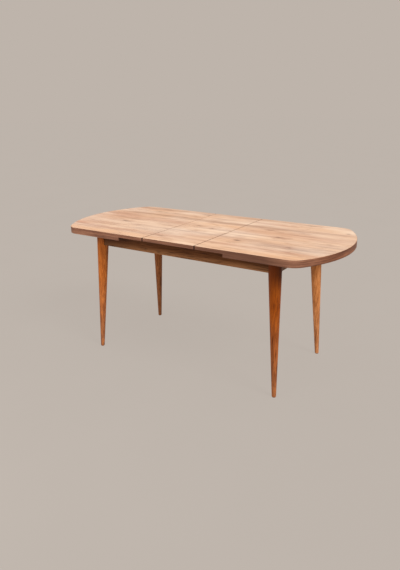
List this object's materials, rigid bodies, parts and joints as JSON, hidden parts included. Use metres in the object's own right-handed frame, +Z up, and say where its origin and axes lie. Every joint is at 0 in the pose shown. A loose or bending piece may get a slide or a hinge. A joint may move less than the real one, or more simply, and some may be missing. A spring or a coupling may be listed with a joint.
{
  "type": "butterfly leaf dining table",
  "caption": "Extending dining table with round-ended sliding tops, a folding centre leaf that swings down into its frame, and tapered splayed legs.",
  "frame": {"origin": "floor level under the middle of the top, with the leaf in place", "axes": "+X along the table, +Y towards its rear long side, +Z up"},
  "size_m": [1.65, 0.75, 0.75],
  "materials": {
    "top_laminate": "matt wood-print laminate",
    "edge_band": "wood-print edging",
    "build_up": "raw board",
    "apron_wood": "brown lacquer",
    "leg_wood": "satin honey lacquer",
    "frame_wood": "raw pine",
    "slide_wood": "waxed beech",
    "aluminium": "mill",
    "steel": "zinc plated",
    "brass": "satin",
    "nylon": "moulded",
    "rubber": "moulded"
  },
  "bodies": {
    "frame": {"left_end_rail": "apron_wood", "left_cross_rail": "frame_wood", "front_left_leg": "leg_wood", "front_left_glide": "nylon", "front_left_corner_block": "frame_wood", "rear_left_leg": "leg_wood", "rear_left_glide": "nylon", "rear_left_corner_block": "frame_wood", "right_end_rail": "apron_wood", "right_cross_rail": "frame_wood", "front_right_leg": "leg_wood", "front_right_glide": "nylon", "front_right_corner_block": "frame_wood", "rear_right_leg": "leg_wood", "rear_right_glide": "nylon", "rear_right_corner_block": "frame_wood", "front_rail": "apron_wood", "front_runner_channel": "aluminium", "rear_rail": "apron_wood", "rear_runner_channel": "aluminium", "shaft_bushes": "nylon", "leg_bolts": "steel", "leg_nuts": "steel", "corner_screws": "steel", "angle_brackets": "steel", "angle_screws": "steel", "channel_screws": "steel", "runner_stop_pins": "steel", "leaf_rest_pads": "rubber"},
    "left_top": {"left_top_panel": "top_laminate", "left_top_edging": "edge_band", "left_end_strip": "build_up", "left_bar_screws": "steel", "front_left_side_strip": "build_up", "front_left_slide_bar": "slide_wood", "rear_left_side_strip": "build_up", "rear_left_slide_bar": "slide_wood"},
    "right_top": {"right_top_panel": "top_laminate", "right_top_edging": "edge_band", "right_end_strip": "build_up", "right_bar_screws": "steel", "front_right_side_strip": "build_up", "front_right_slide_bar": "slide_wood", "rear_right_side_strip": "build_up", "rear_right_slide_bar": "slide_wood"},
    "front_arms": {"front_pivot_shaft": "steel", "front_swing_arms": "steel"},
    "rear_arms": {"rear_pivot_shaft": "steel", "rear_swing_arms": "steel"},
    "rear_leaf": {"rear_wing": "top_laminate", "rear_wing_edging": "edge_band", "rear_hinge_plates": "brass", "rear_wing_screws": "steel", "arm_brackets": "steel", "arm_pivot_pins": "steel"},
    "fold_links": {"hinge_links": "brass"},
    "front_leaf": {"front_wing": "top_laminate", "front_wing_edging": "edge_band", "front_hinge_plates": "brass", "front_wing_screws": "steel"}
  },
  "joints": [
    {"name": "left_top_slide", "type": "slide", "parent": "frame", "child": "left_top", "axis": [-1, 0, 0], "range_m": [0, 0.045]},
    {"name": "right_top_slide", "type": "slide", "parent": "frame", "child": "right_top", "axis": [1, 0, 0], "range_m": [0, 0.045]},
    {"name": "leaf_swing", "type": "hinge", "parent": "frame", "child": "front_arms", "pos_m": [0, -0.01142, 0.668], "axis": [1, 0, 0], "range_deg": [0, 138.19]},
    {"name": "leaf_level", "type": "hinge", "parent": "front_arms", "child": "rear_leaf", "pos_m": [0, 0.075, 0.723], "axis": [1, 0, 0], "range_deg": [-138.2, 0]},
    {"name": "rear_arm_swing", "type": "hinge", "parent": "frame", "child": "rear_arms", "pos_m": [0, 0.10853, 0.668], "axis": [1, 0, 0], "range_deg": [0, 138.2]},
    {"name": "front_wing_fold", "type": "hinge", "parent": "rear_leaf", "child": "front_leaf", "pos_m": [0, 0, 0.7502], "axis": [-1, 0, 0], "range_deg": [0, 180]},
    {"name": "fold_link_turn", "type": "hinge", "parent": "rear_leaf", "child": "fold_links", "pos_m": [0, 0.0032, 0.747], "axis": [-1, 0, 0], "range_deg": [0, 90]}
  ],
  "couplings": [
    {"joint": "leaf_level", "follows": "leaf_swing", "ratio": -1},
    {"joint": "rear_arm_swing", "follows": "leaf_swing", "ratio": 1},
    {"joint": "fold_link_turn", "follows": "leaf_swing", "ratio": 0.65123},
    {"joint": "front_wing_fold", "follows": "leaf_swing", "ratio": 1.3025}
  ]
}
